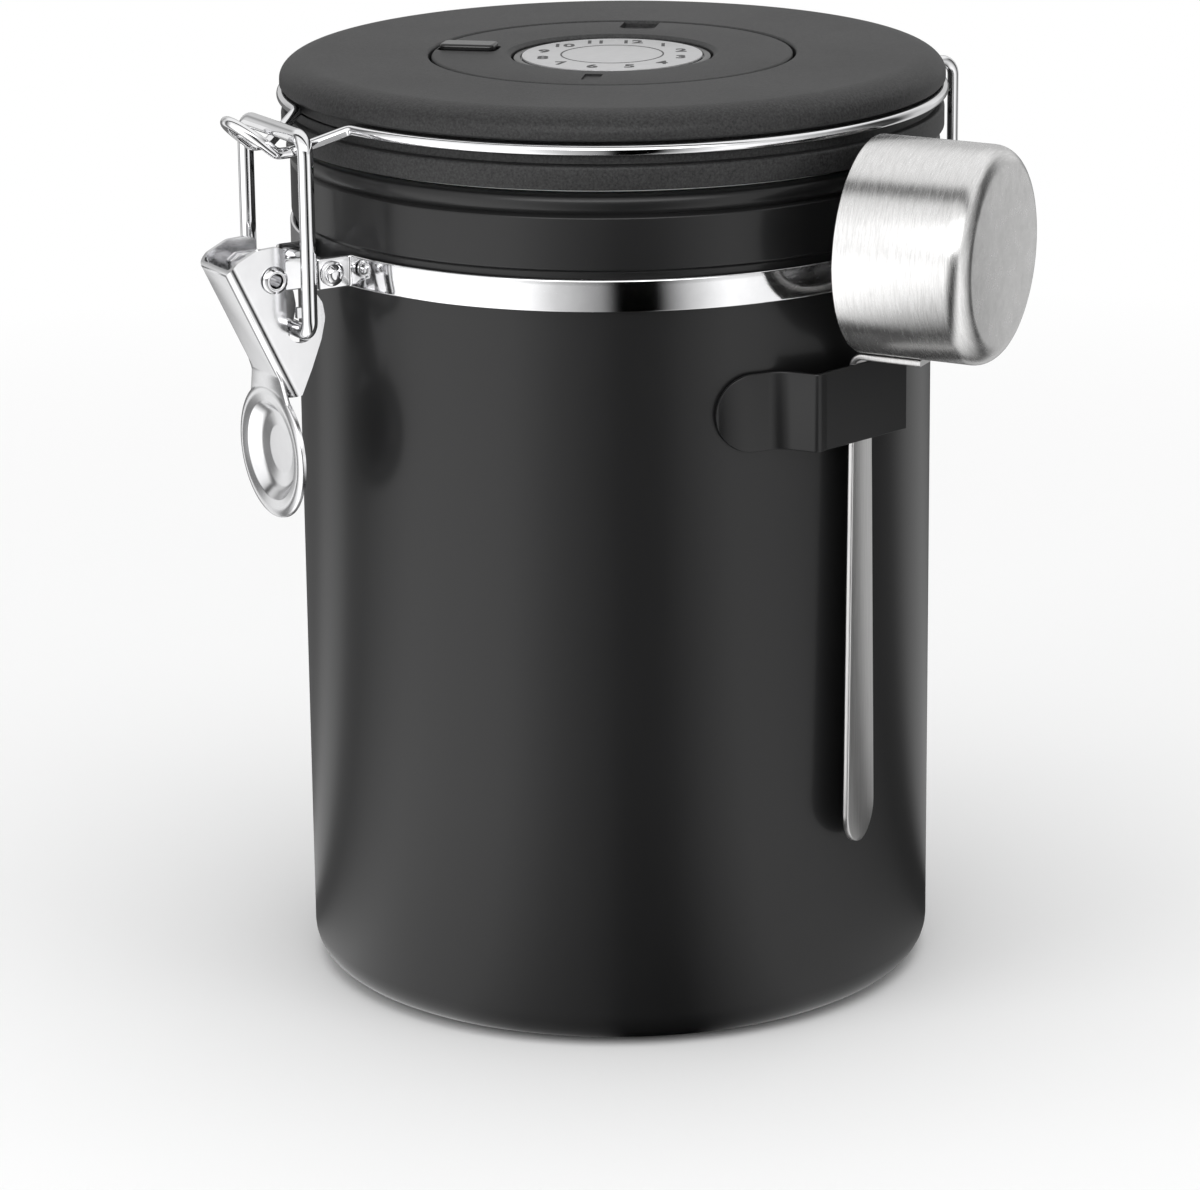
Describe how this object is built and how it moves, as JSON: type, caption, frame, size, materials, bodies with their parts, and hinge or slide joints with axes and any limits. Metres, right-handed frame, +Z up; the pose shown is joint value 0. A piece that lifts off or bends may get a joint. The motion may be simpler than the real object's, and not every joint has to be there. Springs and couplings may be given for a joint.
{
  "type": "coffee canister",
  "caption": "Round black storage canister with a wire-latched hinged lid, a turning date dial on top and a steel scoop clipped to its side.",
  "frame": {"origin": "centre of the can's flat base, on the can's axis", "axes": "+Z up, -Y towards the latch, +Y towards the lid's hinge, the scoop hangs on the +X side"},
  "size_m": [0.1624, 0.1609, 0.1827],
  "materials": {
    "black_coat": "satin black coat",
    "lid_plastic": "matt, fine grain",
    "bright_steel": "polished",
    "scoop_steel": "brushed",
    "silicone": "soft, translucent white",
    "number_disc": "satin with printed numbers"
  },
  "bodies": {
    "can": {"vessel": "black_coat", "strap_band": "bright_steel", "strap_rivet": "bright_steel", "strap_spacer": "bright_steel", "lever_rivet": "bright_steel", "hinge_bracket": "bright_steel", "hinge_rivet_left": "bright_steel", "hinge_rivet_right": "bright_steel", "scoop_clip": "black_coat"},
    "lid": {"lid_base": "lid_plastic", "lid_cover": "lid_plastic", "lid_gasket": "silicone", "lid_ring": "bright_steel", "dial_hub": "lid_plastic", "number_plate": "number_disc", "valve_body": "lid_plastic", "valve_flap": "silicone", "valve_cap": "lid_plastic"},
    "dial": {"date_dial": "lid_plastic"},
    "lever": {"latch_lever": "bright_steel"},
    "link": {"latch_link": "bright_steel"},
    "scoop": {"scoop_cup": "scoop_steel", "scoop_handle": "scoop_steel"}
  },
  "joints": [
    {"name": "lid_hinge", "type": "hinge", "parent": "can", "child": "lid", "pos_m": [0, 0.0715, 0.14755], "axis": [-1, 0, 0], "range_deg": [0, 110]},
    {"name": "dial_turn", "type": "hinge", "parent": "lid", "child": "dial", "pos_m": [0, 0, 0.1816], "axis": [0, 0, 1], "continuous": true},
    {"name": "lever_swing", "type": "hinge", "parent": "can", "child": "lever", "pos_m": [0, -0.0777, 0.1472], "axis": [-1, 0, 0], "range_deg": [0, 104]},
    {"name": "link_swing", "type": "hinge", "parent": "lever", "child": "link", "pos_m": [0, -0.07345, 0.1375], "axis": [-1, 0, 0], "range_deg": [-83.2, 0]},
    {"name": "scoop_slide", "type": "slide", "parent": "can", "child": "scoop", "axis": [-0.2419, 0.9703, 0], "range_m": [0, 0.03]}
  ],
  "couplings": [
    {"joint": "link_swing", "follows": "lever_swing", "ratio": -0.8}
  ]
}
